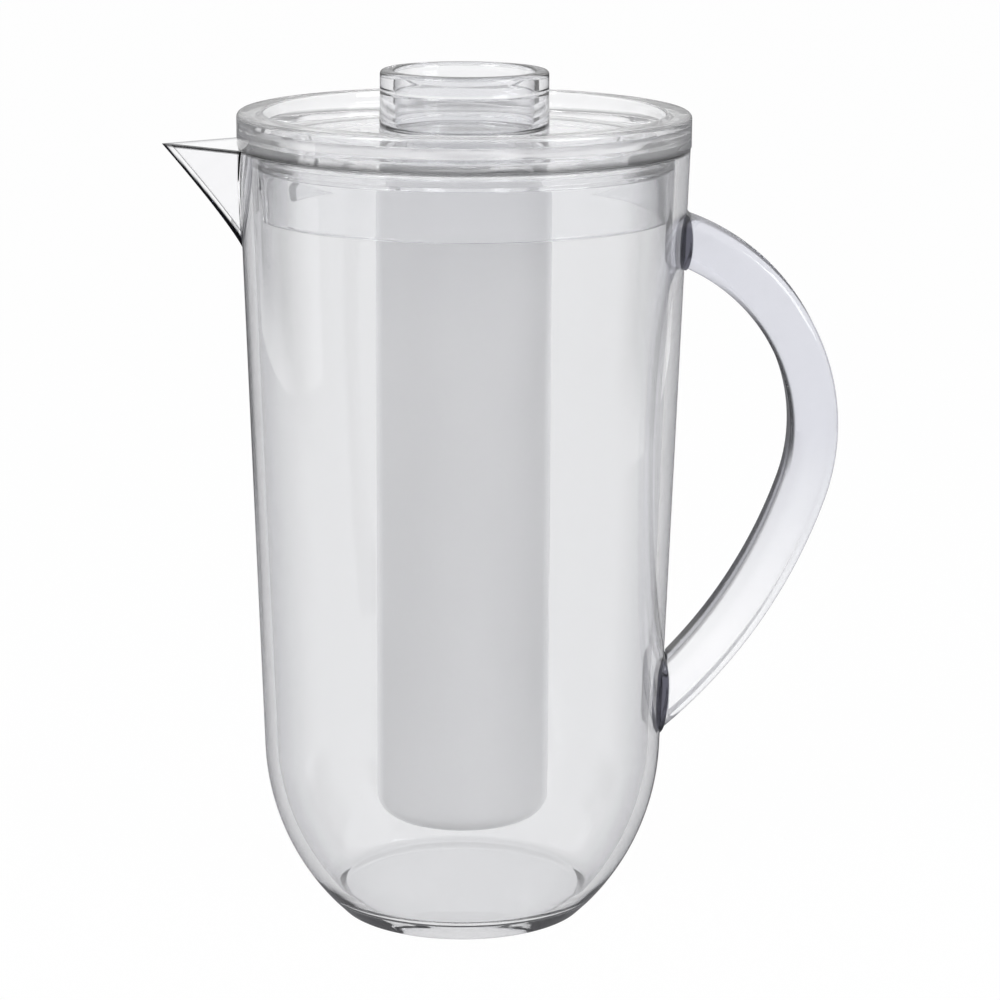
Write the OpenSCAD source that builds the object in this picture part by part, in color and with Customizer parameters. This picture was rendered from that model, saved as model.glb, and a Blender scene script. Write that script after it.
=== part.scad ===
// Lidded pitcher with a bonded beak, a bonded bow handle and a chiller core hung under the lid.
// The origin is the middle of the foot. The beak points along -X and the handle along +X.

/* [Jug] */
// Outside diameter of the rim
rim_d = 142; // [130:1:154]
// Height of the rim above the table
jug_h = 249.5; // [235:0.5:265]
// Outside diameter where the straight wall meets the rounded bottom
low_d = 128.6; // [122:0.2:130]
// Height at which the straight wall meets the rounded bottom
bend_z = 54; // [46:1:62]
// Diameter of the flat foot
foot_d = 80; // [72:1:88]
// Thickness of the jug's wall
jug_wall = 4; // [3:0.25:4.5]
// Thickness of the jug's floor
floor_t = 7; // [5:0.5:9]

/* [Pour slots] */
// Width of one pour slot
slot_w = 2.6; // [2:0.1:3]
// Distance between neighbouring slots
slot_pitch = 5.2; // [4.6:0.1:5.6]
// Slots on each side of the middle web
slot_pairs = 2; // [1:1:2]
// Distance from the rim down to the top of the slots
slot_top_drop = 8.5; // [8:0.5:10]
// Distance from the rim down to the bottom of the middle slots
slot_low_drop = 22; // [18:0.5:23]
// How much higher each outer slot starts
slot_step = 6; // [4:0.5:7]

/* [Beak] */
// Distance from the wall to the tip of the beak
beak_reach = 24; // [18:0.5:28]
// Height of the beak
beak_h = 33; // [28:0.5:38]
// Half of the angle between the beak's two sides
beak_half_deg = 37; // [32:1:42]
// Thickness of the beak's sides
beak_wall = 3; // [2:0.25:3.5]
// How hollow the ridge line is, where 1 is straight
beak_curve = 1.13; // [1:0.01:1.3]
// Gap between the beak's top and the lid's flange
beak_gap = 0.3; // [0.2:0.1:0.5]

/* [Handle] */
// Height at which the handle stands out farthest
handle_z = 160; // [150:1:170]
// Distance from the jug's axis to the handle's farthest centre
handle_x = 111.6; // [106:0.1:118]
// Radius of the upper bend
handle_top_r = 64; // [58:1:68]
// Radius of the long lower bend
handle_low_r = 168; // [150:1:178]
// Angle below level at which the upper bend turns into the lower one
handle_turn_deg = 18.5; // [14:0.5:22]
// Thickness of the bar seen from the side
handle_t = 15.2; // [12:0.1:18]
// Width of the bar seen from the end
handle_w = 20; // [16:0.5:24]
// Radius of the bar's long edges
handle_edge = 3; // [2:0.5:5.5]
// How far the two bonding bosses stand out of the jug
boss_h = 2.5; // [2:0.25:3]
// Ledge of a boss round the end of the bar
boss_ledge = 0.8; // [0.5:0.1:1.2]

/* [Lid] */
// How far the lid's flange stands out past the rim
lid_over = 0.3; // [0.1:0.1:1]
// Height of the flange above the rim
flange_h = 10.5; // [9:0.5:12]
// Radius of the flange's top edge
flange_edge = 1.5; // [0.5:0.25:2.5]
// Width of the flange's top face
ring_w = 8.3; // [7.5:0.1:9]
// Height of the upright face inside the flange
ring_face_h = 3.7; // [3:0.1:4]
// Width of the slope inside the flange
slope_w = 4.2; // [3.5:0.1:5]
// Height of the small step under the slope
step_h = 1.3; // [1:0.1:1.6]
// Radius of the flat floor of the lid's dish
dish_r = 50.5; // [48:0.5:52]
// Depth of the dish below the flange's top
dish_depth = 15; // [14:0.5:16]
// Thickness of the lid's floor
plate_t = 3; // [2.5:0.25:3.5]
// Gap between the skirt and the jug's rim
skirt_gap = 2; // [1.5:0.1:2.5]
// Thickness of the skirt
skirt_t = 3.5; // [3:0.25:4]
// Depth of the skirt below the rim
skirt_h = 21.5; // [20:0.5:24]
// Angle that the pour window takes out of the skirt
window_deg = 44; // [36:1:60]
// Height of the pour window
window_h = 13.5; // [11:0.5:14]

/* [Lid seal] */
// Height of the lid seal's ring
seal_h = 3; // [2.5:0.1:3.5]
// Distance from the rim down to the top of the seal
seal_drop = 3; // [2.5:0.1:3.5]
// Depth of the seal's groove
groove_depth = 1.1; // [0.8:0.1:1.4]

/* [Chiller core] */
// Outside diameter of the core tube
core_d = 55.6; // [50:0.2:58]
// Thickness of the core tube's wall
core_wall = 2.2; // [1.8:0.1:2.6]
// Gap between the core tube's closed end and the jug's floor
core_clear = 24; // [16:1:60]
// Thickness of the core tube's closed end
core_end_t = 3; // [2:0.25:4]
// Outside radius of the core tube's lower edge
core_edge = 6; // [4:0.5:8]
// Length of the spigot that carries the core tube
spigot_h = 10; // [8:0.5:12]
// Thickness of the spigot's wall
spigot_t = 3.7; // [3:0.1:4.5]
// Thickness of the gasket between the tube and the lid
gasket_t = 1; // [0.8:0.1:1.5]

/* [Knob cap] */
// Diameter of the knob at its foot
knob_low_d = 54; // [50:0.5:58]
// Diameter of the knob at its top
knob_top_d = 53; // [50:0.5:57]
// Height of the knob from its foot to its top
knob_h = 27.9; // [24:0.1:32]
// Height of the knob's rolled rim
bead_h = 6.5; // [5:0.5:8]
// Depth of the line under the rolled rim
bead_line = 0.6; // [0.3:0.1:0.8]
// Inside diameter of the knob's cup
cup_d = 44; // [40:0.5:45]
// Height of the cup's floor above the knob's foot
cup_floor_z = 9.2; // [8:0.1:10]
// Thickness of the cup's floor
cup_floor_t = 3; // [2:0.25:3.5]
// Radius between the cup's floor and wall
cup_fillet = 2; // [1:0.25:3]
// Radius of the lip of the cup
cup_lip = 1.4; // [0.5:0.1:2]
// Outside diameter of the filling neck under the knob
neck_d = 43.2; // [40:0.2:44]
// Bore of the filling neck
neck_bore = 37; // [34:0.5:38]
// Thickness of the washer on the filling neck
washer_t = 1.5; // [1:0.1:2]

/* [Clearances] */
// Gap at a soft seal's rubbing face
seal_gap = 0.3; // [0.2:0.05:0.4]
// Gap round a seal in its groove, and under the knob's foot
slip_gap = 0.1; // [0.05:0.05:0.2]
// Gap at a screwed joint
thread_gap = 0.4; // [0.3:0.05:0.5]

/* [Hidden] */
$fn = 96;
// Overrun of every cut
cut = 1;
// Steps of the rounded bottom and of small fillets
bend_steps = 20;
edge_steps = 6;
beak_levels = 10;

rim_r = rim_d / 2;
low_r = low_d / 2;
foot_r = foot_d / 2;
// Lean of the straight wall
taper = (rim_r - low_r) / (jug_h - bend_z);
lean = atan(taper);
// Radius and centre of the arc that runs from the foot into the straight wall
bend_dx = foot_r - low_r;
bend_r = -(bend_dx * bend_dx + bend_z * bend_z) / (2 * (bend_dx * cos(lean) + bend_z * sin(lean)));
bend_cx = low_r - bend_r * cos(lean);
bend_cz = bend_z + bend_r * sin(lean);
mouth_r = rim_r - jug_wall / cos(lean);

beak_top_z = jug_h - beak_gap;
beak_slope = tan(beak_half_deg);
beak_ridge = beak_wall / sin(beak_half_deg);
// How deep in the wall the ridge starts
beak_root = 0.6;

// Point of the bar's centre line where its two bends meet
turn_x = handle_x - handle_top_r * (1 - cos(handle_turn_deg));
turn_z = handle_z - handle_top_r * sin(handle_turn_deg);
// Angles past which the bar's ends lie inside the jug
top_end_deg = 78;
low_end_deg = 53;

flange_r = rim_r + lid_over;
ring_top_z = jug_h + flange_h;
ring_in_r = flange_r - ring_w;
// Draft of the upright face inside the flange
ring_draft = 0.3;
seat_r = ring_in_r - slope_w;
slope_z = ring_top_z - ring_face_h;
seat_z = slope_z - ring_face_h;
plate_top = ring_top_z - dish_depth;
plate_low = plate_top - plate_t;
// How much wider the dish is below than inside, and the height of its upright edge there
dish_skin = 0.9;
dish_edge_h = 2.5;
dish_root = 1;
skirt_r = mouth_r - skirt_gap;
skirt_in_r = skirt_r - skirt_t;
skirt_low = jug_h - skirt_h;
groove_r = skirt_r - groove_depth;
seal_top = jug_h - seal_drop;
seal_low = seal_top - seal_h;

core_r = core_d / 2;
core_in_r = core_r - core_wall;
core_top = plate_low - gasket_t;
core_low = floor_t + core_clear;
spigot_r = core_in_r - thread_gap;
spigot_in_r = spigot_r - spigot_t;

knob_low = plate_top + slip_gap;
knob_top = knob_low + knob_h;
knob_low_r = knob_low_d / 2;
knob_top_r = knob_top_d / 2;
bead_z = knob_top - bead_h;
cup_r = cup_d / 2;
cup_floor = knob_low + cup_floor_z;
cup_under = cup_floor - cup_floor_t;
neck_r = neck_d / 2;
neck_top = cup_under - washer_t;
bore_r = neck_bore / 2;
cap_bore_r = neck_r + thread_gap;

// Radius of the straight wall's outside at height z
function wall_r(z) = rim_r - taper * (jug_h - z);
// Points of an arc from angle a to angle b
function arc(cx, cz, r, a, b, n) =
    [for (i = [0 : n]) let (t = a + (b - a) * i / n) [cx + r * cos(t), cz + r * sin(t)]];
// Half outline of the jug's form, moved outwards by off and closed below at height z
function jug_outline(off, z, top) = concat(
    [[0, z]],
    arc(bend_cx, bend_cz, bend_r + off, asin((z - bend_cz) / (bend_r + off)), -lean, bend_steps),
    [[wall_r(top) + off / cos(lean), top], [0, top]]);

// Full turn of the jug's form, started beside the handle and not under it
module jug_form(off, z, top) {
    rotate([0, 0, 90]) rotate_extrude() polygon(jug_outline(off, z, top));
}

// Bar of the handle, grown by a margin all round, with its ends inside the jug
module handle_bar(grow) {
    bar_t = handle_t + 2 * grow;
    bar_w = handle_w + 2 * grow;
    edge = handle_edge + grow;
    translate([turn_x, 0, turn_z]) rotate([90, 0, 0]) rotate([0, 0, -handle_turn_deg]) {
        translate([-handle_top_r, 0, 0])
            rotate_extrude(angle = top_end_deg + handle_turn_deg)
                translate([handle_top_r, 0]) bar_section(bar_t, bar_w, edge);
        mirror([0, 1, 0]) translate([-handle_low_r, 0, 0])
            rotate_extrude(angle = low_end_deg - handle_turn_deg)
                translate([handle_low_r, 0]) bar_section(bar_t, bar_w, edge);
    }
}

// Rounded rectangle
module bar_section(t, w, edge) {
    x = t / 2 - edge;
    y = w / 2 - edge;
    polygon(concat(
        arc(x, y, edge, 0, 90, edge_steps), arc(-x, y, edge, 90, 180, edge_steps),
        arc(-x, -y, edge, 180, 270, edge_steps), arc(x, -y, edge, 270, 360, edge_steps)));
}

// Solid wedge whose ridge runs from the wall out to the tip, moved inwards by back
module beak_wedge(back, top) {
    low = beak_top_z - beak_h;
    root = rim_r / 2;
    levels = [for (i = [0 : beak_levels])
        let (t = i / beak_levels, z = low + beak_h * t, zz = i == beak_levels ? z + top : z,
             x = wall_r(z) - beak_root + (beak_reach + beak_root) * pow(t, beak_curve) - back,
             y = beak_slope * (x - root))
        [[-x, 0, zz], [-root, y, zz], [-root, -y, zz]]];
    points = [for (level = levels) each level];
    last = 3 * beak_levels;
    faces = concat(
        [[2, 1, 0], [last, last + 1, last + 2]],
        [for (i = [0 : beak_levels - 1], s = [0 : 2])
            let (a = 3 * i + s, b = 3 * i + (s + 1) % 3)
            each [[a, b, b + 3], [a, b + 3, a + 3]]]);
    polyhedron(points, faces);
}

// Round-ended slot through the wall behind the beak
module pour_slot(y, low, high) {
    depth = rim_r / 2;
    translate([-rim_r - cut, y, 0]) rotate([0, 90, 0]) {
        for (z = [low + slot_w / 2, high - slot_w / 2])
            translate([-z, 0, 0]) cylinder(h = depth, d = slot_w, $fn = 24);
        translate([-high + slot_w / 2, -slot_w / 2, 0])
            cube([high - low - slot_w, slot_w, depth]);
    }
}

module jug_body() {
    color([0.93, 0.94, 0.95, 0.35]) difference() {
        union() {
            jug_form(0, 0, jug_h);
            intersection() {
                handle_bar(boss_ledge);
                jug_form(boss_h, 0, jug_h);
            }
        }
        jug_form(-jug_wall, floor_t, jug_h + cut);
        for (side = [-1, 1], k = [0 : slot_pairs - 1])
            pour_slot(side * (k + 1 / 2) * slot_pitch,
                      jug_h - slot_low_drop + k * slot_step, jug_h - slot_top_drop);
    }
}

module pour_spout() {
    color([0.93, 0.94, 0.95, 0.35]) difference() {
        beak_wedge(0, 0);
        beak_wedge(beak_ridge, cut);
        jug_form(0, 0, jug_h + cut);
    }
}

module handle() {
    color([0.82, 0.83, 0.88, 0.6]) difference() {
        handle_bar(0);
        jug_form(boss_h, 0, jug_h + cut);
    }
}

module lid() {
    color([0.9, 0.91, 0.92, 0.35]) difference() {
        rotate_extrude() polygon(concat(
            [[spigot_in_r, plate_low - spigot_h], [spigot_r, plate_low - spigot_h],
             [spigot_r, plate_low], [dish_r + dish_skin, plate_low],
             [dish_r + dish_skin, plate_low + dish_edge_h], [skirt_in_r, jug_h - dish_root],
             [skirt_in_r, skirt_low], [skirt_r, skirt_low], [skirt_r, jug_h], [flange_r, jug_h]],
            arc(flange_r - flange_edge, ring_top_z - flange_edge, flange_edge, 0, 90, edge_steps),
            [[ring_in_r, ring_top_z], [ring_in_r - ring_draft, slope_z], [seat_r, seat_z],
             [seat_r, seat_z - step_h], [dish_r, plate_top], [neck_r, plate_top],
             [neck_r, neck_top], [bore_r, neck_top], [bore_r, plate_low],
             [spigot_in_r, plate_low]]));
        // Groove of the lid seal
        difference() {
            translate([0, 0, seal_low - slip_gap])
                cylinder(h = seal_h + 2 * slip_gap, r = skirt_r + cut);
            translate([0, 0, seal_low - cut])
                cylinder(h = seal_h + 2 * cut, r = groove_r);
        }
        // Pour window, which faces the slots while the lid is turned to pour
        rotate([0, 0, 180 - window_deg / 2]) rotate_extrude(angle = window_deg)
            translate([skirt_in_r - cut, skirt_low - cut])
                square([skirt_t + 2 * cut, window_h + cut]);
    }
}

module lid_seal() {
    seal_mid = (seal_low + seal_top) / 2;
    outer = wall_r(seal_low) - jug_wall / cos(lean) - seal_gap;
    inner = groove_r + slip_gap;
    // The ring is widest at half its height, where it rubs on the jug
    color([0.85, 0.86, 0.87, 0.7]) rotate_extrude() polygon([
        [inner, seal_low], [skirt_r, seal_low], [outer, seal_mid], [skirt_r, seal_top],
        [inner, seal_top]]);
}

module core_tube() {
    in_edge = core_edge - core_wall;
    color([0.75, 0.76, 0.77, 0.8]) rotate_extrude() polygon(concat(
        [[0, core_low]],
        arc(core_r - core_edge, core_low + core_edge, core_edge, -90, 0, edge_steps),
        [[core_r, core_top], [core_in_r, core_top]],
        arc(core_in_r - in_edge, core_low + core_end_t + in_edge, in_edge, 0, -90, edge_steps),
        [[0, core_low + core_end_t]]));
}

module core_gasket() {
    color([0.88, 0.88, 0.88, 0.8]) translate([0, 0, core_top]) difference() {
        cylinder(h = gasket_t, r = core_r);
        translate([0, 0, -cut]) cylinder(h = gasket_t + 2 * cut, r = spigot_r + slip_gap);
    }
}

module knob_cap() {
    color([0.92, 0.93, 0.94, 0.35]) rotate_extrude() polygon(concat(
        [[cap_bore_r, knob_low], [knob_low_r, knob_low], [knob_top_r, bead_z - bead_line],
         [knob_top_r - bead_line, bead_z], [knob_top_r, bead_z + bead_line]],
        arc(knob_top_r - cup_lip, knob_top - cup_lip, cup_lip, 0, 90, edge_steps),
        arc(cup_r + cup_lip, knob_top - cup_lip, cup_lip, 90, 180, edge_steps),
        arc(cup_r - cup_fillet, cup_floor + cup_fillet, cup_fillet, 0, -90, edge_steps),
        [[0, cup_floor], [0, cup_under], [cap_bore_r, cup_under]]));
}

module cap_washer() {
    color([0.88, 0.88, 0.88, 0.8]) translate([0, 0, neck_top]) difference() {
        cylinder(h = washer_t, r = neck_r);
        translate([0, 0, -cut]) cylinder(h = washer_t + 2 * cut, r = bore_r);
    }
}

jug_body();
pour_spout();
handle();
lid();
lid_seal();
core_tube();
core_gasket();
knob_cap();
cap_washer();
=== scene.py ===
# %% [markdown]
# # A clear pitcher with a lid, a knob cap and a chiller core
#
# The object is moulded from clear and frosted acrylic. Nearly everything that the eye reads on it is an
# edge: a rim, a rounded corner, the line where two pieces are bonded. So each piece is built here as a
# fine surface with its own small radii, and the finish does the rest.

# %% Frame
import math

import bmesh
import bpy
import numpy as np
from mathutils import Matrix, Vector


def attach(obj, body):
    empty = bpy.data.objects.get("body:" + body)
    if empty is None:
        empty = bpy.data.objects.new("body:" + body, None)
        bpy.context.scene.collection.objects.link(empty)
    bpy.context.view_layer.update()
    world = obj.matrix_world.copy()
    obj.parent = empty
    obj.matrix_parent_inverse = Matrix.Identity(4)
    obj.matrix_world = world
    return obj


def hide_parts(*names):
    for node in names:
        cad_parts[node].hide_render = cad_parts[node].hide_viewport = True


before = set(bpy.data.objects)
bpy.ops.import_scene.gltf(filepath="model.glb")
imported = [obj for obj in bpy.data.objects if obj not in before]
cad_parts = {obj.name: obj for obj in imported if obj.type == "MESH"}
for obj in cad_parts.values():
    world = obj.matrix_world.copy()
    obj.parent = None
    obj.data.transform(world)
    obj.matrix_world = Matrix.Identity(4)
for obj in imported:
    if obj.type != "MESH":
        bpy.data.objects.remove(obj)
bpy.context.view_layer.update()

# %% [markdown]
# ## Camera
#
# The picture looks slightly down on the pitcher from about a metre away, through a long lens, so the jug
# stands nearly upright in the frame. The camera is placed by numbers: its height, its pitch and a hint of
# roll. Sizes below are in millimetres, because that is how a maker would write them.

# %% Camera
MM = 0.001
SENSOR = 36.0
NEAR_CLIP, FAR_CLIP = 0.05, 50.0
CAMERA_AT = (11.84, -1050.0, 380.05)
PITCH_DOWN, ROLL, FOCAL = 13.143, 0.334, 120.63


def place_camera(x, y, z, pitch, roll, lens):
    """A camera at (x, y, z) mm that looks along +Y, pitched down by pitch degrees and rolled by roll."""
    data = bpy.data.cameras.new("camera")
    data.lens, data.sensor_width = lens, SENSOR
    data.clip_start, data.clip_end = NEAR_CLIP, FAR_CLIP
    camera = bpy.data.objects.new("camera", data)
    bpy.context.scene.collection.objects.link(camera)
    turn = Matrix.Rotation(math.radians(90 - pitch), 4, "X") @ Matrix.Rotation(math.radians(roll), 4, "Z")
    camera.matrix_world = Matrix.Translation((x * MM, y * MM, z * MM)) @ turn
    bpy.context.scene.camera = camera
    return camera


camera = place_camera(*CAMERA_AT, PITCH_DOWN, ROLL, FOCAL)
print("camera", [round(v, 3) for v in camera.location])

# %% [markdown]
# ## Shapes from outlines
#
# Most pieces are turned: one half outline, swept round the jug's axis. An outline is written as a few
# corners with a radius each, the way a drawing gives them. Long straight runs get extra points, so that
# shading stays even and a thread can be pressed into them.

# %% Outline helpers
def arc(cx, cz, radius, start, end, steps):
    """Points (cx + r cos a, cz + r sin a), with the angle a going from start to end in degrees."""
    a = np.radians(np.linspace(start, end, steps + 1))
    return np.c_[cx + radius * np.cos(a), cz + radius * np.sin(a)]


def rounded(corners, radii, steps=5, closed=True):
    """An outline through the corners, each turned into an arc that touches both of its sides.

    The arc of radius r starts at r * tan(half the turn) from the corner on each side."""
    corners, out = np.asarray(corners, float), []
    last = len(corners) - 1
    for i, (corner, radius) in enumerate(zip(corners, radii)):
        if radius == 0 or (not closed and i in (0, last)):
            out.append(corner[None])
            continue
        u, v = corners[i - 1] - corner, corners[(i + 1) % (last + 1)] - corner
        u, v = u / np.hypot(*u), v / np.hypot(*v)
        half = math.acos(np.clip(-(u @ v), -1, 1)) / 2
        middle = corner + (u + v) / np.hypot(*(u + v)) * radius / math.cos(half)
        begin = corner + u * radius * math.tan(half) - middle
        end = corner + v * radius * math.tan(half) - middle
        t = np.linspace(0, 1, steps + 1)[:, None]
        swing = begin * np.sin((1 - t) * 2 * half) + end * np.sin(t * 2 * half)
        out.append(middle + swing / math.sin(2 * half))
    return np.concatenate(out)


def even(outline, step, closed=True):
    """The same outline with points added, so that none lie farther apart than step."""
    ends = np.roll(outline, -1, axis=0) if closed else outline[1:]
    out = []
    for a, b in zip(outline, ends):
        n = max(1, math.ceil(np.hypot(*(b - a)) / step))
        out.append(a + (b - a) * np.linspace(0, 1, n, endpoint=False)[:, None])
    return np.concatenate(out if closed else out + [outline[-1:]])


def quads(rows, cols, close_rows=False, close_cols=False):
    """The faces of a grid of points numbered row by row, each (a, b, c, d) round one cell."""
    row_starts, col_starts = np.arange(rows - (not close_rows)), np.arange(cols - (not close_cols))
    r, c = np.meshgrid(row_starts, col_starts, indexing="ij")
    r2, c2 = (r + 1) % rows, (c + 1) % cols
    return np.stack([r * cols + c, r * cols + c2, r2 * cols + c2, r2 * cols + c], -1).reshape(-1, 4)


def turned(outline, angles):
    """Points (r cos t, r sin t, z) for each outline point (r, z) and each angle t."""
    r, z = outline[:, :1], outline[:, 1:]
    return np.stack([r * np.cos(angles), r * np.sin(angles), z + 0 * angles], -1)


def smooth_step(x):
    """3x^2 - 2x^3 between 0 and 1, flat outside."""
    x = np.clip(x, 0, 1)
    return x * x * (3 - 2 * x)


print("a corner in", len(rounded([[0, 0], [1, 0], [1, 1]], [0, 0.2, 0])), "points")

# %% [markdown]
# ## From points to pieces
#
# Every piece is a closed skin, because clear plastic only bends light right when the skin has an inside
# and an outside. Points that fall together, such as a turned outline's ends on the axis, are merged, and
# the faces are turned outwards. Edges sharper than an angle, 40 degrees unless a piece says otherwise,
# stay crisp.

# %% Mesh helper
MERGE = 2e-6


def skin(name, points, faces, sharp=40):
    """A closed mesh object from points in millimetres and four-cornered faces."""
    mesh = bpy.data.meshes.new(name)
    mesh.from_pydata((np.asarray(points).reshape(-1, 3) * MM).tolist(), [], np.asarray(faces).tolist())
    work = bmesh.new()
    work.from_mesh(mesh)
    bmesh.ops.remove_doubles(work, verts=work.verts, dist=MERGE)
    bmesh.ops.recalc_face_normals(work, faces=work.faces)
    volume = work.calc_volume(signed=True)
    if volume < 0:
        bmesh.ops.reverse_faces(work, faces=work.faces)
    open_edges = sum(not e.is_manifold for e in work.edges)
    work.to_mesh(mesh)
    work.free()
    mesh.shade_smooth()
    mesh.set_sharp_from_angle(angle=math.radians(sharp))
    obj = bpy.data.objects.new(name, mesh)
    bpy.context.scene.collection.objects.link(obj)
    print(f"{name}: {len(mesh.polygons)} faces, {abs(volume) * 1e6:.1f} cm3, open edges {open_edges}")
    return obj


def fit(obj, body, node, finish):
    """Puts a finished piece on its body, hides the solid that it stands for and gives it its finish."""
    obj.data.materials.append(finish)
    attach(obj, body)
    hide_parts(node)
    return obj


def shade(obj, rule):
    """Writes the attribute "shade" for every point: rule turns points in mm into values from 0 to 1."""
    mesh = obj.data
    points = np.empty(3 * len(mesh.vertices), np.float32)
    mesh.vertices.foreach_get("co", points)
    layer = mesh.attributes.new("shade", "FLOAT", "POINT")
    layer.data.foreach_set("value", rule(points.reshape(-1, 3) / MM).astype(np.float32))
    return obj


ROUND_COUNT = 240
ROUND = np.radians(np.arange(ROUND_COUNT) * (360 / ROUND_COUNT))
print("columns round the axis:", len(ROUND))

# %% [markdown]
# ## Small node helpers
#
# A finish is a network of nodes, and a few steps return in nearly all of them: a value is stretched from
# one range to another, the height is taken out of a place, two colours are mixed, two values are combined,
# and one of two shaders is chosen. Each gets a helper that makes the node, links it and hands back its
# result.

# %% Node helpers
def stretched(tree, value, low, high, at_low=0.0, at_high=1.0, soft=False):
    """The value between low and high, stretched to run from at_low to at_high, with soft ends if soft."""
    node = tree.nodes.new("ShaderNodeMapRange")
    node.interpolation_type = "SMOOTHSTEP" if soft else "LINEAR"
    for label, number in (("From Min", low), ("From Max", high), ("To Min", at_low), ("To Max", at_high)):
        node.inputs[label].default_value = number
    tree.links.new(value, node.inputs["Value"])
    return node.outputs["Result"]


def height(tree, place):
    """The Z of a place."""
    split = tree.nodes.new("ShaderNodeSeparateXYZ")
    tree.links.new(place, split.inputs[0])
    return split.outputs["Z"]


def mixed(tree, factor, first, second):
    """A colour between first and second, each a socket or a plain colour."""
    mix = tree.nodes.new("ShaderNodeMix")
    mix.data_type = "RGBA"
    tree.links.new(factor, mix.inputs["Factor"])
    for socket, value in ((mix.inputs[6], first), (mix.inputs[7], second)):
        if isinstance(value, tuple):
            socket.default_value = (*value, 1)
        else:
            tree.links.new(value, socket)
    return mix.outputs[2]


def combined(tree, operation, first, second, clamp=False):
    """The result of a Math node on two values, the second a socket or a plain number."""
    node = tree.nodes.new("ShaderNodeMath")
    node.operation, node.use_clamp = operation, clamp
    tree.links.new(first, node.inputs[0])
    if isinstance(second, float):
        node.inputs[1].default_value = second
    else:
        tree.links.new(second, node.inputs[1])
    return node.outputs[0]


def either_shader(tree, factor, first, second):
    """The first shader where the factor is 0, the second where it is 1."""
    mix = tree.nodes.new("ShaderNodeMixShader")
    for socket, source in zip(mix.inputs, (factor, first, second)):
        tree.links.new(source, socket)
    return mix.outputs[0]


print("node helpers: stretched, height, mixed, combined, either_shader")

# %% [markdown]
# ## Shared effects for the finishes
#
# Moulded acrylic is never perfectly even. Two effects return in the finishes. Flow is the faint, long
# waviness that the plastic keeps from filling the mould. Handling is what hands and cloths leave: hazy
# patches and fine scratches. Both are node groups, so each material can place them with its own values.

# %% Node groups
def node_group(name, inputs, output):
    """An empty shader node group with named inputs and one output, and its two end nodes."""
    group = bpy.data.node_groups.new(name, "ShaderNodeTree")
    for label, kind, value in inputs:
        socket = group.interface.new_socket(label, in_out="INPUT", socket_type=kind)
        if value is not None:
            socket.default_value = value
    group.interface.new_socket(output, in_out="OUTPUT", socket_type="NodeSocketFloat")
    return group, group.nodes.new("NodeGroupInput"), group.nodes.new("NodeGroupOutput")


def make_flow():
    """Height of long soft ripples: smooth noise, stretched along the axis by the piece's own mapping."""
    inputs = [("Vector", "NodeSocketVector", None), ("Scale", "NodeSocketFloat", 30.0)]
    group, start, end = node_group("moulding_flow", inputs, "Height")
    wide = group.nodes.new("ShaderNodeTexNoise")
    wide.inputs["Detail"].default_value = 1.0
    wide.inputs["Roughness"].default_value = 0.4
    group.links.new(start.outputs["Vector"], wide.inputs["Vector"])
    group.links.new(start.outputs["Scale"], wide.inputs["Scale"])
    group.links.new(wide.outputs["Fac"], end.inputs["Height"])
    return group


def make_handling():
    """Mask of hazy patches and fine scratches: cloudy noise, plus the thin lines between stretched cells."""
    inputs = [("Vector", "NodeSocketVector", None), ("Haze", "NodeSocketFloat", 0.5),
              ("Scratches", "NodeSocketFloat", 0.5)]
    group, start, end = node_group("handling_marks", inputs, "Mask")
    cloud = group.nodes.new("ShaderNodeTexNoise")
    cloud.inputs["Scale"].default_value = 22.0
    cloud.inputs["Detail"].default_value = 5.0
    longer = group.nodes.new("ShaderNodeVectorMath")
    longer.operation = "MULTIPLY"
    longer.inputs[1].default_value = (1.0, 1.0, 0.22)
    lines = group.nodes.new("ShaderNodeTexVoronoi")
    lines.feature = "DISTANCE_TO_EDGE"
    lines.inputs["Scale"].default_value = 160.0
    group.links.new(start.outputs["Vector"], cloud.inputs["Vector"])
    group.links.new(start.outputs["Vector"], longer.inputs[0])
    group.links.new(longer.outputs["Vector"], lines.inputs["Vector"])
    patches = stretched(group, cloud.outputs["Fac"], 0.45, 0.75)
    thin = stretched(group, lines.outputs["Distance"], 0.0, 0.012, 1.0, 0.0)
    haze = combined(group, "MULTIPLY", patches, start.outputs["Haze"])
    scratches = combined(group, "MULTIPLY", thin, start.outputs["Scratches"])
    group.links.new(combined(group, "ADD", haze, scratches, clamp=True), end.inputs["Mask"])
    return group


FLOW, HANDLING = make_flow(), make_handling()
print("groups:", FLOW.name, HANDLING.name)

# %% [markdown]
# ## What every finish starts with
#
# A finish starts from the place on the piece, in the piece's own coordinates, and from a copy of it that
# is stretched, because plastic flows along its mould. Roughness and a fine relief come on top. These are
# three short functions, so each finish below only says what is its own.

# %% Finish helpers
def start_material(name, stretch):
    """A material: itself, its tree, its Principled node, the place on the piece, and that place stretched."""
    material = bpy.data.materials.new(name)
    material.use_nodes = True
    tree = material.node_tree
    mapping = tree.nodes.new("ShaderNodeMapping")
    mapping.inputs["Scale"].default_value = stretch
    place = tree.nodes.new("ShaderNodeTexCoord").outputs["Object"]
    tree.links.new(place, mapping.inputs["Vector"])
    return material, tree, tree.nodes["Principled BSDF"], place, mapping.outputs["Vector"]


def add_handling(tree, place, surface, haze, scratches, smooth, worn):
    """Roughness from smooth to worn where the handling mask is set."""
    marks = tree.nodes.new("ShaderNodeGroup")
    marks.node_tree = HANDLING
    marks.inputs["Haze"].default_value = haze
    marks.inputs["Scratches"].default_value = scratches
    tree.links.new(place, marks.inputs["Vector"])
    rough = stretched(tree, marks.outputs["Mask"], 0.0, 1.0, smooth, worn)
    tree.links.new(rough, surface.inputs["Roughness"])


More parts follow.
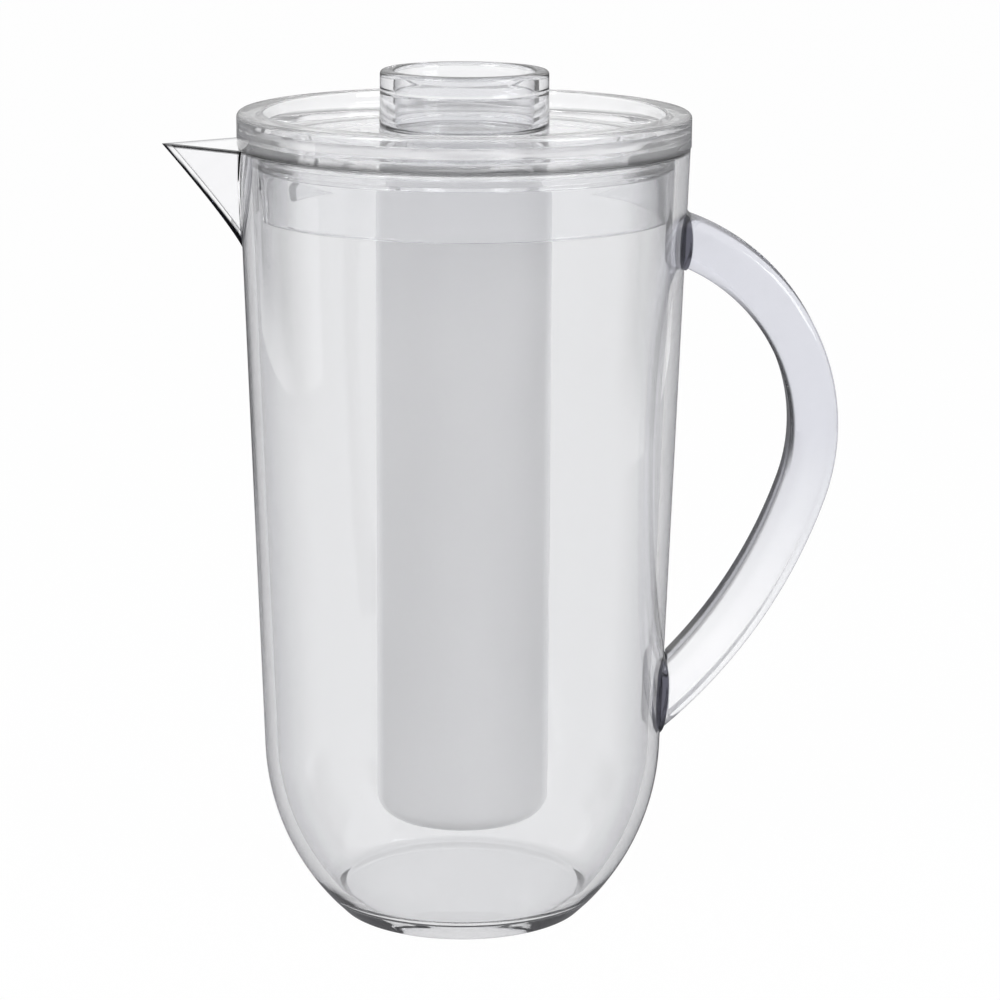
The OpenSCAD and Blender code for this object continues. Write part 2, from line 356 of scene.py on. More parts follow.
def add_bump(tree, surface, rise, strength, depth):
    """A bump from a value that rises, depth in metres."""
    bump = tree.nodes.new("ShaderNodeBump")
    bump.inputs["Strength"].default_value = strength
    bump.inputs["Distance"].default_value = depth
    tree.links.new(rise, bump.inputs["Height"])
    tree.links.new(bump.outputs["Normal"], surface.inputs["Normal"])


print("finish helpers: start_material, add_handling, add_bump")

# %% [markdown]
# ## Clear acrylic
#
# Acrylic is a glass with an index of refraction of 1.49. Face on it hardly tints, but along its edges the
# light travels far inside the wall and comes out grey, which draws the outline of every clear piece. Layer
# Weight paints that grazing tone into the colour, as painted shade. Rays from lamps pass straight through a
# mix with Transparent, so that what stands inside the jug is lit.
#
# Where two pieces are bonded, light is caught and hardly comes out again. A ray tracer would need endless
# bounces for that, so the points there carry an attribute, "shade", that turns the tint nearly black. In
# the thick pieces the opposite is needed: a small matt share lets out light that would otherwise be lost.
# The beak's cheeks are so close together that this isn't enough, and their index is lower.

# %% Clear acrylic
ACRYLIC, SILICONE, BEAK_INDEX = 1.49, 1.41, 1.22
# painted shade: the near-black tint that the attribute "shade" brings into the colour
CAUGHT = (0.0004, 0.0004, 0.0016)
LAMP_TINT = (0.94, 0.94, 0.95, 1)
FADE_FROM, FADE_TO = 0.16, 0.09
HAZE, SCRATCHES, WORN = 0.35, 0.5, 0.12
EDGE_BLEND, EDGE_START, EDGE_FULL = 0.35, 0.28, 0.97


def clear_acrylic(name, tint, edge, stretch, ripple, depth, index=ACRYLIC, clear=1.0, smooth=0.0, low=None):
    """Clear acrylic: tint face on, edge tone at grazing angles, dark where shaded, ripples and wear.

    clear is the share that isn't matt. With low given, the tint fades to low as the piece comes down from
    FADE_FROM to FADE_TO, in metres over the table. The handle uses it as painted light, paler near the table."""
    material, tree, surface, place, along = start_material(name, stretch)
    surface.inputs["IOR"].default_value = index
    surface.inputs["Transmission Weight"].default_value = clear
    add_handling(tree, place, surface, HAZE, SCRATCHES, smooth, WORN)
    flow = tree.nodes.new("ShaderNodeGroup")
    flow.node_tree = FLOW
    flow.inputs["Scale"].default_value = ripple
    tree.links.new(along, flow.inputs["Vector"])
    add_bump(tree, surface, flow.outputs["Height"], 1.0, depth)
    # painted light: on the handle the tint turns paler towards the table
    if low:
        tint = mixed(tree, stretched(tree, height(tree, place), FADE_FROM, FADE_TO), tint, low)
    # painted shade: at grazing angles the tint turns to the edge tone, which draws the outline
    grazing = tree.nodes.new("ShaderNodeLayerWeight")
    grazing.inputs["Blend"].default_value = EDGE_BLEND
    toned = mixed(tree, stretched(tree, grazing.outputs["Facing"], EDGE_START, EDGE_FULL), tint, edge)
    # painted shade: where the attribute "shade" is set, the tint turns to CAUGHT
    marked = tree.nodes.new("ShaderNodeAttribute")
    marked.attribute_name = "shade"
    tree.links.new(mixed(tree, marked.outputs["Fac"], toned, CAUGHT), surface.inputs["Base Color"])
    lamp_ray = tree.nodes.new("ShaderNodeLightPath").outputs["Is Shadow Ray"]
    through = tree.nodes.new("ShaderNodeBsdfTransparent")
    through.inputs["Color"].default_value = LAMP_TINT
    both = either_shader(tree, lamp_ray, surface.outputs[0], through.outputs[0])
    tree.links.new(both, tree.nodes["Material Output"].inputs["Surface"])
    return material


print("index of acrylic", ACRYLIC, "and in the beak", BEAK_INDEX)

# %% [markdown]
# ## The clear finishes
#
# Jug, beak, lid, knob and pads are the same plastic, but they differ in how thick they are and how they
# were moulded. So each has its own tint and edge tone, and its own direction and size of ripples. Jug and
# lid also have a small matt share. The pads' near-black tint is painted shade, for the light caught in them.

# %% Clear finishes
JUG_CLEAR = clear_acrylic("jug_clear", (0.900, 0.902, 0.909), (0.30, 0.30, 0.33), (1, 1, 0.18), 26, 0.0004,
                          clear=0.975)
BEAK_CLEAR = clear_acrylic("beak_clear", (0.985, 0.985, 0.992), (0.25, 0.25, 0.30), (1, 1, 0.5), 20, 0.0002,
                           index=BEAK_INDEX)
LID_CLEAR = clear_acrylic("lid_clear", (0.930, 0.931, 0.936), (0.84, 0.84, 0.85), (1, 1, 1), 34, 0.0004,
                          clear=0.91)
KNOB_CLEAR = clear_acrylic("knob_clear", (0.930, 0.932, 0.942), (0.42, 0.42, 0.45), (1, 1, 0.3), 30, 0.0003)
# painted shade: the pads' near-black tint and edge tone stand for light caught in them
PAD_PAINTED_SHADE = clear_acrylic("pad_painted_shade", (0.12, 0.12, 0.15), (0.03, 0.03, 0.05), (1, 1, 1), 40, 0.0004)
print("clear finishes:", JUG_CLEAR.name, BEAK_CLEAR.name, LID_CLEAR.name, KNOB_CLEAR.name, PAD_PAINTED_SHADE.name)

# %% [markdown]
# ## Handle, silicone and frosted finishes
#
# The handle is clear too, but it is so thick that it reads as a pale lavender body. Towards the table its
# tint turns lighter, which is painted light, and a quarter of it is matt. The soft rings are clear silicone.
# The core tube is frosted: it lets light in and scatters it, so it looks evenly grey, and a little paler
# along its sides, which is painted light too.

# %% Handle, silicone and frosted finishes
HANDLE_SATIN = clear_acrylic("handle_satin", (0.755, 0.76, 0.805), (0.20, 0.20, 0.26), (1, 1, 1), 18, 0.0003,
                             clear=0.75, smooth=0.03, low=(0.99, 0.99, 0.997))
RING_CLEAR = clear_acrylic("ring_silicone", (0.99, 0.99, 0.992), (0.92, 0.92, 0.93), (1, 1, 1), 60, 0.0002,
                           index=SILICONE)


FROST_HAZE, FROST_SCRATCHES = 0.5, 0.6
# painted light: how much paler the core's sides are drawn, and at which grazing angles
SIDE_FROM, SIDE_TO, SIDE_PALER = 0.62, 0.85, 1.22


def frosted(name, colour, pale, clear, rough, grain):
    """Frosted plastic: a cloudy colour between two greys, paler at its sides, partly clear, fine grain.

    The paler sides are painted light.
    """
    material, tree, surface, place, along = start_material(name, (1, 1, 0.3))
    surface.inputs["IOR"].default_value = ACRYLIC
    surface.inputs["Transmission Weight"].default_value = clear
    cloud = tree.nodes.new("ShaderNodeTexNoise")
    cloud.inputs["Scale"].default_value = 14.0
    cloud.inputs["Detail"].default_value = 4.0
    ramp = tree.nodes.new("ShaderNodeValToRGB")
    for element, position, tone in zip(ramp.color_ramp.elements, (0.3, 0.7), (colour, pale)):
        element.position, element.color = position, (*tone, 1)
    tree.links.new(along, cloud.inputs["Vector"])
    tree.links.new(cloud.outputs["Fac"], ramp.inputs["Fac"])
    # painted light: the sides of the core turn paler at grazing angles
    grazing = tree.nodes.new("ShaderNodeLayerWeight")
    side = stretched(tree, grazing.outputs["Facing"], SIDE_FROM, SIDE_TO)
    rim = tuple(min(1.0, SIDE_PALER * v) for v in pale)
    tree.links.new(mixed(tree, side, ramp.outputs["Color"], rim), surface.inputs["Base Color"])
    add_handling(tree, place, surface, FROST_HAZE, FROST_SCRATCHES, rough, rough + WORN)
    fine = tree.nodes.new("ShaderNodeTexNoise")
    fine.inputs["Scale"].default_value = 900.0
    tree.links.new(place, fine.inputs["Vector"])
    add_bump(tree, surface, fine.outputs["Fac"], 0.5, grain)
    return material


CORE_FROST = frosted("core_frost", (0.70, 0.70, 0.705), (0.79, 0.79, 0.795), 0.25, 0.35, 0.00005)
print("finishes:", HANDLE_SATIN.name, RING_CLEAR.name, CORE_FROST.name)

# %% [markdown]
# ## The jug
#
# The jug is one moulding: a straight wall that leans out by two degrees, a rounded bottom, and a thick
# floor. Outside and inside are concentric arcs 4 mm apart. The same numbers as in the solid give the
# outline, and the rim gets the small radii that a mould leaves.

# %% Jug outline
RIM_R, JUG_H = 71.0, 249.5
LOW_R, BEND_Z, FOOT_R = 64.3, 54.0, 40.0
WALL, FLOOR = 4.0, 7.0
RIM_ROUND, FOOT_ROUND, FLOOR_ROUND, HUB_R = 0.6, 1.0, 7.0, 8.0
TAPER = (RIM_R - LOW_R) / (JUG_H - BEND_Z)
LEAN = math.atan(TAPER)
BEND_R = -((FOOT_R - LOW_R) ** 2 + BEND_Z ** 2) / (
    2 * ((FOOT_R - LOW_R) * math.cos(LEAN) + BEND_Z * math.sin(LEAN)))
BEND_X, BEND_CZ = LOW_R - BEND_R * math.cos(LEAN), BEND_Z + BEND_R * math.sin(LEAN)
MOUTH_R = RIM_R - WALL / math.cos(LEAN)


def wall_r(z, off=0.0):
    """Radius of the straight wall at height z, moved outwards by off."""
    return RIM_R - TAPER * (JUG_H - z) + off / math.cos(LEAN)


SLOT_LOW, SLOT_TOP = 225.0, 243.5
SLOT_ROWS = np.linspace(SLOT_LOW, SLOT_TOP, 17)


def jug_outline():
    """From the middle of the foot outwards, up the outside, over the rim, and down the inside."""
    up = np.concatenate([np.linspace(BEND_Z, SLOT_LOW, 24), SLOT_ROWS[1:],
                         np.linspace(SLOT_TOP, JUG_H - 2 * RIM_ROUND, 3)[1:]])
    low = math.degrees(math.asin(-BEND_CZ / BEND_R))
    lean = -math.degrees(LEAN)
    first = arc(BEND_X, BEND_CZ, BEND_R, low, low + 4, 1)[1]
    foot = rounded([[0, 0], [FOOT_R, 0], first], [0, FOOT_ROUND, 0], 5, False)
    outside = arc(BEND_X, BEND_CZ, BEND_R, low + 4, lean, 26)[:-1]
    rim = rounded([[wall_r(up[-1]), up[-1]], [RIM_R, JUG_H], [MOUTH_R, JUG_H],
                   [wall_r(up[-1], -WALL), up[-1]]], [0, RIM_ROUND, RIM_ROUND, 0], 5, False)
    floor = math.degrees(math.asin((FLOOR - BEND_CZ) / (BEND_R - WALL)))
    inside = arc(BEND_X, BEND_CZ, BEND_R - WALL, lean, floor + 5, 24)
    corner = arc(BEND_X, BEND_CZ, BEND_R - WALL, floor, floor + 1, 1)[0]
    bottom = rounded([inside[-1], corner, [0, FLOOR]], [0, FLOOR_ROUND, 0], 6, False)
    under = np.linspace([HUB_R, 0], foot[1] - [1, 0], 4)
    over = np.linspace(bottom[-2] - [1, 0], [HUB_R, FLOOR], 4)
    return np.concatenate([
        [[0, 0]], under, foot[1:-1], outside, np.c_[wall_r(up[:-1]), up[:-1]], rim,
        np.c_[wall_r(up[-2::-1], -WALL), up[-2::-1]], inside[1:-1], bottom[1:-1], over, [[0, FLOOR]]])


JUG_LINE = jug_outline()
print("jug outline:", len(JUG_LINE), "points, bend radius", round(BEND_R, 2))

# %% [markdown]
# ## Pour slots
#
# Behind the beak the wall has four round-ended slots that hold loose pieces back. A hole is awkward on a
# turned surface, so the wall gets a gap there and each slot brings its own patch: rings of points that
# change from the slot's outline to the edges of its cell. The outer and inner patches are joined by the
# slot's own walls. The two slots in the middle reach lower than the two beside them.

# %% Slot patches
SLOT_W, SLOT_PITCH, CELL_COLS = 2.6, 5.2, 8
SLOT_HEAD, SLOT_FOOT, SIDE_FOOT = JUG_H - 8.5, JUG_H - 22.0, JUG_H - 16.0
SLOT_MID, PLAIN_COLS = 234.0, 226
CELL = SLOT_PITCH / wall_r(SLOT_MID)
COLUMNS = np.concatenate([
    math.pi + CELL * np.linspace(-2, 2, 4 * CELL_COLS + 1),
    math.pi + np.linspace(2 * CELL, 2 * math.pi - 2 * CELL, PLAIN_COLS)[1:-1]])


def slot_cell(middle, low, high):
    """Two matching loops of (angle, height): the edge of a slot's cell, and the slot's own outline."""
    half, n, m = CELL / 2, CELL_COLS, len(SLOT_ROWS) - 1
    t, s = np.linspace(0, 1, n, endpoint=False), SLOT_ROWS[:-1]
    edge = np.concatenate([
        np.c_[middle - half + CELL * t, 0 * t + SLOT_LOW], np.c_[0 * s + middle + half, s],
        np.c_[middle + half - CELL * t, 0 * t + SLOT_TOP], np.c_[0 * s + middle - half, SLOT_ROWS[:0:-1]]])
    r, a = SLOT_W / 2, SLOT_W / 2 / SLOT_PITCH * CELL
    u, v = np.linspace(0, 1, m, endpoint=False), math.pi * t
    slot = np.concatenate([
        np.c_[middle - a * np.cos(v), low + r - r * np.sin(v)],
        np.c_[0 * u + middle + a, low + r + (high - low - 2 * r) * u],
        np.c_[middle + a * np.cos(v), high - r + r * np.sin(v)],
        np.c_[0 * u + middle - a, high - r - (high - low - 2 * r) * u]])
    return edge, slot


def on_wall(loop, off):
    """A loop of (angle, height) laid on the wall, moved outwards by off."""
    r = wall_r(loop[..., 1], off)
    return np.stack([r * np.cos(loop[..., 0]), r * np.sin(loop[..., 0]), loop[..., 1]], -1)


def slot_patch(middle, low, high):
    """Grid of rings: in from the cell's edge on the outside, through the slot, and out again inside."""
    edge, slot = slot_cell(middle, low, high)
    t = np.linspace(0, 1, 5)[:, None, None]
    rings = edge + (slot - edge) * t
    depth = np.linspace(0, -WALL, 5)[1:-1]
    through = [on_wall(slot, off) for off in depth]
    return np.concatenate([on_wall(rings, 0.0), np.array(through), on_wall(rings[::-1], -WALL)])


print("slots", SLOT_W, "mm wide, a cell takes", round(math.degrees(CELL), 2), "degrees")

# %% [markdown]
# ## The jug's skin
#
# The turned surface leaves out its faces where the slots' cells are, and the four patches fill that gap.
# Their edges have the same points as the gap's, so merging closes the skin. Light is caught where the rim
# and the lid's flange meet, and the attribute darkens the points there.

# %% Jug
def build_jug():
    """The turned jug without the slots' cells, plus the four slot patches."""
    grid = turned(JUG_LINE, COLUMNS)
    faces = quads(len(JUG_LINE), len(COLUMNS), close_cols=True)
    row, col = faces[:, 0] // len(COLUMNS), faces[:, 0] % len(COLUMNS)
    z = JUG_LINE[:, 1]
    below, above = np.sort([z[row], z[np.minimum(row + 1, len(z) - 1)]], axis=0)
    in_rows = (below >= SLOT_LOW - 1e-6) & (above <= SLOT_TOP + 1e-6)
    points, faces = [grid.reshape(-1, 3)], [faces[~(in_rows & (col < 4 * CELL_COLS))]]
    for k in (-1.5, -0.5, 0.5, 1.5):
        patch = slot_patch(math.pi + k * CELL, SIDE_FOOT if abs(k) > 1 else SLOT_FOOT, SLOT_HEAD)
        faces.append(quads(*patch.shape[:2], close_cols=True) + sum(len(p) for p in points))
        points.append(patch.reshape(-1, 3))
    return skin("jug", np.concatenate(points), np.concatenate(faces))


def rim_shade(p):
    """Dark where the jug's rim and the lid's flange meet and light is caught between them."""
    x, y, z = p.T
    return 0.85 * (abs(z - JUG_H) < 0.7) * (np.hypot(x, y) > RIM_R - 1.5)


shade(fit(build_jug(), "jug", "jug_body", JUG_CLEAR), rim_shade)

# %% [markdown]
# ## The beak
#
# The beak is two flat cheeks that meet in a ridge and are bonded on the wall. Seen from above each level
# is a V whose arms end on the wall. The ridge line runs out from the wall to the tip in a shallow, hollow
# curve. The V inside is the same V, moved back by the thickness of the cheeks, and it only starts where it
# clears the wall. A bonded piece starts a hair inside the wall's surface.

# %% Beak levels
REACH, BEAK_H, HALF = 24.0, 33.0, math.radians(37)
CHEEK, HOLLOW = 2.0, 1.13
RIDGE_START, BOND = 0.12, -0.08
OUTER_NOSE, INNER_NOSE = 0.7, 0.4
BEAK_TOP = JUG_H - 0.3


def ridge_r(z, t):
    """Distance of the ridge from the axis at height z, where t goes from 0 at the beak's foot to 1 on top."""
    return wall_r(z) + RIDGE_START + (REACH - RIDGE_START) * t ** HOLLOW


def arm_length(apex, radius):
    """Length of a V's arm from its apex to the circle of that radius: the triangle rule's near root."""
    return apex * math.cos(HALF) - np.sqrt(radius ** 2 - (apex * math.sin(HALF)) ** 2)


def beak_levels(count=60, across=26):
    """Grid of (level, point round the V): the outer V, then the inner V back again."""
    t = np.linspace(0, 1, count)[:, None]
    z = BEAK_TOP - BEAK_H * (1 - t)
    wall = wall_r(z) + BOND
    outer = ridge_r(z, t)
    inner = np.maximum(outer - CHEEK / math.sin(HALF), wall)
    t_arm = np.linspace(-1, 1, 2 * across + 1)[None]
    s = np.sign(t_arm) * (1 - np.cos(math.pi * t_arm)) / 2

    def vee(apex, nose, flip):
        """Points of one V, its apex rounded off by nose."""
        u = s * flip * np.maximum(arm_length(apex, wall), 0)
        soft = np.sqrt(u ** 2 + nose ** 2) - nose
        x, y = apex - soft * math.cos(HALF), u * math.sin(HALF)
        push = np.maximum(np.hypot(x, y), wall) / np.hypot(x, y)
        return np.stack([-x * push, y * push, z + 0 * u], -1)

    return np.concatenate([vee(outer, OUTER_NOSE, 1), vee(inner, INNER_NOSE, -1)], axis=1)


print("beak tip", round(ridge_r(BEAK_TOP, 1.0), 1), "mm from the axis")

# %% [markdown]
# ## The beak's skin
#
# The levels make one tube, closed on top and at its foot. Its shade follows what catches light: the ridge,
# the line inside it, the top edge and the bond on the wall.

# %% Beak
def build_beak():
    """The V levels as one tube, closed on top by the rim of the V and at its foot in the same way."""
    grid = beak_levels()
    rows, cols = grid.shape[:2]
    top = (rows - 1) * cols + np.arange(cols)
    half = cols // 2
    lid_faces = np.stack([top[:half - 1], top[1:half], top[::-1][1:half], top[::-1][:half - 1]], -1)
    faces = np.concatenate([quads(rows, cols, close_cols=True), lid_faces, lid_faces - (rows - 1) * cols])
    return skin("beak", grid, faces, 30)


def beak_shade(p):
    """Dark on the ridge, along the top edge and where the cheeks are bonded on the wall."""
    x, y, z = p.T
    t = np.clip((z - BEAK_TOP + BEAK_H) / BEAK_H, 0, 1)
    width = 2.4 - 0.8 * t
    back = ridge_r(z, t) + x - abs(y) / math.tan(HALF)
    on_ridge = smooth_step((width - abs(y)) / 0.5) * (back < 0.8)
    inner_line = 0.6 * smooth_step((0.5 - abs(y)) / 0.3) * (back > 0.8)
    # painted shade: the top edge is darker on the front cheek than on the back one
    on_top = np.where(y < 0, 0.95 * (z > BEAK_TOP - 0.6), 0.4 * (z > BEAK_TOP - 0.01))
    on_wall = 0.35 * smooth_step((0.45 - (np.hypot(x, y) - wall_r(z))) / 0.3)
    return np.clip(np.maximum.reduce([on_ridge, inner_line, on_top, on_wall]), 0, 1)


shade(fit(build_beak(), "jug", "pour_spout", BEAK_CLEAR), beak_shade)

# %% [markdown]
# ## The handle
#
# The handle is a bar with a rounded rectangular section, bent along two arcs. Every point of the section
# follows its own pair of arcs, and stops where it meets the jug: that spot is found for all of them at
# once by halving the angle until the point sits on the wall. So the ends fit the round wall exactly.

# %% Handle bends
BAR_T, BAR_W, BAR_EDGE = 15.2, 20.0, 3.0
TOP_R, LOW_BEND_R, TURN = 64.0, 168.0, math.radians(18.5)
GRIP_X, GRIP_Z = 111.6, 160.0
TOP_CX, LOW_CX = GRIP_X - TOP_R, GRIP_X - TOP_R - (LOW_BEND_R - TOP_R) * math.cos(TURN)
LOW_CZ = GRIP_Z + (LOW_BEND_R - TOP_R) * math.sin(TURN)
UPPER_BEND, LOWER_BEND = (TOP_CX, GRIP_Z, TOP_R), (LOW_CX, LOW_CZ, LOW_BEND_R)
UPPER_SEARCH, LOWER_SEARCH = np.radians([80, 20]), np.radians([-58, -25])
PAD_H, PAD_GROW = 2.5, 0.8


def bar_section(t, w, edge, steps=12):
    """Points round a rounded rectangle: t across the bend, w along the axis of the bend."""
    corners = np.array([[t, w], [-t, w], [-t, -w], [t, -w]]) / 2
    return even(rounded(corners, [edge] * 4, steps), 1.6)


def on_bend(section, bend, angle):
    """The section's points at an angle of a bend (cx, cz, radius): each on its own arc about (cx, cz)."""
    cx, cz, radius = bend
    r, a = np.broadcast_arrays(radius + section[:, 0], angle)
    return np.stack([cx + r * np.cos(a), 0 * a + section[:, 1], cz + r * np.sin(a)], -1)


def meets_wall(section, bend, search, off):
    """For each section point, the angle of its arc, within search, where it crosses the wall moved by off."""
    a, b = np.full((2, len(section)), search[:, None])
    for _ in range(40):
        m = (a + b) / 2
        x, y, z = on_bend(section, bend, m).T
        within = np.hypot(x, y) < wall_r(z, off)
        a, b = np.where(within, m, a), np.where(within, b, m)
    return (a + b) / 2


def lens(t):
    """Thickness of a lens-shaped pad at distance t from its middle: thick there, nothing at its two tips."""
    return (PAD_H - 0.1) * np.sqrt(np.clip(1 - (t / (BAR_T / 2 + PAD_GROW)) ** 2, 0, 1))


def bar_end(t):
    """How far the bar's end stands off the wall at t, a hair more than the pad under it."""
    return 0.14 + lens(t)


def pad_top(t):
    """How far the pad's top stands off the wall at t."""
    return 0.09 + lens(t)


def pad_foot(t):
    """How far the pad's foot stands off the wall: a little less than nothing, the same at every t."""
    return BOND + 0 * t


print("handle turns from radius", TOP_R, "to", LOW_BEND_R, "at", round(math.degrees(TURN), 1), "degrees")

# %% [markdown]
# ## The handle's bar
#
# A ring of section points at each station makes the bar, and a cap of shrinking rings that lie on the wall
# closes each end. The face that looks at the jug catches light and shows dark. In the lower bend it is
# seen from above, and there only its far half and a fine line along its near edge stay dark.

# %% Handle
def bar_points(section, off, count=240):
    """Grid of (station, section point) along both arcs, from the upper pad to the lower one."""
    start = meets_wall(section, UPPER_BEND, UPPER_SEARCH, off)
    end = meets_wall(section, LOWER_BEND, LOWER_SEARCH, off)
    t = np.linspace(0, 1, count)[:, None]
    top, low = start + (-TURN - start) * t, -TURN + (end + TURN) * t[1:]
    return np.concatenate([on_bend(section, UPPER_BEND, top), on_bend(section, LOWER_BEND, low)])


def cap(ring, section, off, steps=14):
    """Rings that shrink to their middle, each point laid on the wall moved out by off(its distance)."""
    middle = (ring[section[:, 0].argmax()] + ring[section[:, 0].argmin()]) / 2 * [1, 0, 1]
    t = np.linspace(1, 0, steps + 1)[1:, None]
    rings = middle + (ring - middle) * t[..., None]
    x = np.sqrt(wall_r(rings[..., 2], off(section[:, 0] * t)) ** 2 - rings[..., 1] ** 2)
    return np.stack([x, rings[..., 1], rings[..., 2]], -1)


def build_handle():
    """The bar between its pads, with an end cap at each side."""
    section = bar_section(BAR_T, BAR_W, BAR_EDGE)
    body = bar_points(section, bar_end(section[:, 0]))
    grid = np.concatenate([cap(body[0], section, bar_end)[::-1], body, cap(body[-1], section, bar_end)])
    return skin("handle_bar", grid, quads(*grid.shape[:2], close_cols=True))


def handle_shade(p):
    """Dark on the face that looks at the jug, and below the turn only on its far half and its near edge."""
    x, y, z = p.T
    angle = np.arctan2(z - GRIP_Z, x - TOP_CX)
    across_top = np.hypot(x - TOP_CX, z - GRIP_Z) - TOP_R
    across_low = np.hypot(x - LOW_CX, z - LOW_CZ) - LOW_BEND_R
    t = np.where(angle > -TURN, across_top, across_low)
    face = 0.98 * smooth_step((-t - 5.9) / 0.8)
    far_half, near_line = smooth_step((y + 2.2) / 2.2), 0.7 * smooth_step(1.6 - abs(y + 7.6))
    below = smooth_step((-0.05 - angle) / 0.3)
    face = face * (1 - (1 - np.maximum(far_half, near_line)) * below)
    # painted shade: a soft darkening across the bar's lower half, towards the face that looks at the jug
    body = 0.12 * smooth_step((-t - 1.0) / 6.0) * (angle < 0)
    return np.maximum(face, body) * smooth_step((math.radians(66) - angle) / math.radians(32))


shade(fit(build_handle(), "jug", "handle", HANDLE_SATIN), handle_shade)

# %% [markdown]
# ## The bonding pads
#
# Each end of the bar stands on a low pad that was moulded with the jug. From the side a pad shows as a
# dark lens, because light is caught in it: thick in the middle and thin at its upper and lower tip. It is
# the bar's outline grown by 0.8 mm, between the wall's surface and the lens-shaped hollow of the bar's end.

# %% Pads
def build_pad(name, bend, search):
    """A pad: the grown bar's outline on its bend, from just inside the wall's surface to the bar's end."""
    section = bar_section(BAR_T + 2 * PAD_GROW, BAR_W + 2 * PAD_GROW, BAR_EDGE + PAD_GROW)
    rings = []
    for share, drawn_in in ((0.0, 0.0), (0.4, 0.0), (0.75, 0.012), (0.93, 0.03), (1.0, 0.06)):
        outline = section * (1 - drawn_in / np.hypot(*section.T).mean())
        level = BOND + (pad_top(outline[:, 0]) - BOND) * share
        rings.append(on_bend(outline, bend, meets_wall(outline, bend, search, level)))
    foot, top = cap(rings[0], section, pad_foot), cap(rings[-1], outline, pad_top)
    grid = np.concatenate([foot[::-1], np.array(rings), top])
    return skin(name, grid, quads(*grid.shape[:2], close_cols=True), 50)


for name, bend, search in (("pad_upper", UPPER_BEND, UPPER_SEARCH), ("pad_lower", LOWER_BEND, LOWER_SEARCH)):
    fit(build_pad(name, bend, search), "jug", "jug_body", PAD_PAINTED_SHADE)

# %% [markdown]
# ## The lid
#
# The lid is the most stepped piece: a broad ring with a dish inside it, a deep skirt that goes into the
# jug, a neck in the middle that the knob screws on, and a spigot below that carries the core. The skirt
# has a window on one side, made by lifting its lower edge there. Each of the two screw threads is a low
# ridge whose height over the surface follows a screw line.

# %% Lid outline
RING_TOP, PLATE_TOP, PLATE_LOW = 260.0, 245.0, 242.0
FLANGE_R, RING_IN, SEAT_R, DISH_R = 71.3, 63.0, 58.8, 50.5
SKIRT_R, SKIRT_IN, SKIRT_LOW = MOUTH_R - 2.0, MOUTH_R - 5.5, JUG_H - 21.5
GROOVE_R, SEAL_TOP, SEAL_LOW = SKIRT_R - 1.1, JUG_H - 3.0, JUG_H - 6.0
NECK_R, BORE_R, NECK_TOP = 21.6, 18.5, 249.8
SPIGOT_R, SPIGOT_IN, SPIGOT_LOW = 25.2, 21.5, 232.0
RIM_GAP = 0.04

LID_CORNERS = [
    (SPIGOT_IN, SPIGOT_LOW, 0.5), (SPIGOT_R, SPIGOT_LOW, 0.5), (SPIGOT_R, PLATE_LOW, 0.3),
    (DISH_R + 0.9, PLATE_LOW, 0.8), (DISH_R + 0.9, PLATE_LOW + 2.5, 1.0), (SKIRT_IN, JUG_H - 1.0, 1.5),
    (SKIRT_IN, SKIRT_LOW, 1.0), (SKIRT_R, SKIRT_LOW, 1.0), (SKIRT_R, SEAL_LOW - 0.1, 0.2),
    (GROOVE_R, SEAL_LOW - 0.1, 0.2), (GROOVE_R, SEAL_TOP + 0.1, 0.2), (SKIRT_R, SEAL_TOP + 0.1, 0.2),
    (SKIRT_R, JUG_H + RIM_GAP, 0.4), (FLANGE_R, JUG_H + RIM_GAP, 0.4), (FLANGE_R, RING_TOP, 1.5),
    (RING_IN, RING_TOP, 0.8), (RING_IN - 0.3, RING_TOP - 3.7, 0.5), (SEAT_R, RING_TOP - 7.4, 0.4),
    (SEAT_R, RING_TOP - 8.7, 0.4), (DISH_R, PLATE_TOP, 1.2), (NECK_R, PLATE_TOP, 0.4),
    (NECK_R, NECK_TOP, 0.4), (BORE_R, NECK_TOP, 0.4), (BORE_R, PLATE_LOW, 0.8), (SPIGOT_IN, PLATE_LOW, 0.6)]


def merged_outline():
    """The finely filled outline's points on threads and at bends, and one in eight of all the others."""
    corners = np.array(LID_CORNERS)
    fine = even(rounded(corners[:, :2], corners[:, 2], 4), 0.25)
    r, z = fine.T
    thread = ((abs(r - SPIGOT_R) < 0.05) & (z < PLATE_LOW - 0.3) & (z > SPIGOT_LOW + 0.5)) | (
        (abs(r - NECK_R) < 0.05) & (z > PLATE_TOP + 0.3) & (z < NECK_TOP - 0.3))
    ahead, back = np.roll(fine, -1, 0) - fine, fine - np.roll(fine, 1, 0)
    bends = abs(ahead[:, 0] * back[:, 1] - ahead[:, 1] * back[:, 0]) > 1e-4
    eighth = np.arange(len(fine)) % 8 == 0
    return fine[thread | bends | eighth]


LID_LINE = merged_outline()
print("lid outline:", len(LID_LINE), "points")

# %% [markdown]
# ## Threads and the pour window
#
# A thread ridge is a rounded wave of the height along a screw line: it depends on z minus pitch times the
# turn. It fades out at both ends. The window is a smooth step in the skirt's lower edge over three degrees,
# so its sides come out rounded as a mould would leave them.

# %% Lid
def ridge(z, angle, pitch, low, high, height):
    """Height of a right-hand thread at (angle, z): narrow rounded ridges that fade towards low and high."""
    phase = (z / pitch - angle / (2 * math.pi)) % 1.0
    wave = np.clip(1 - np.abs(phase - 0.5) / 0.28, 0, 1)
    fade = np.clip((z - low) / 0.8, 0, 1) * np.clip((high - z) / 0.8, 0, 1)
    return height * (3 * wave ** 2 - 2 * wave ** 3) * fade


THREAD_H, CORE_PITCH, CAP_PITCH = 0.3, 4.0, 3.0
WINDOW_HALF, WINDOW_EDGE, WINDOW_LIFT = math.radians(22), math.radians(1.5), 13.5
SIDES = [math.pi - WINDOW_HALF, math.pi + WINDOW_HALF]
LID_COLUMNS = np.unique(np.round(np.concatenate(
    [ROUND] + [side + np.linspace(-WINDOW_EDGE, WINDOW_EDGE, 9) for side in SIDES]), 6))


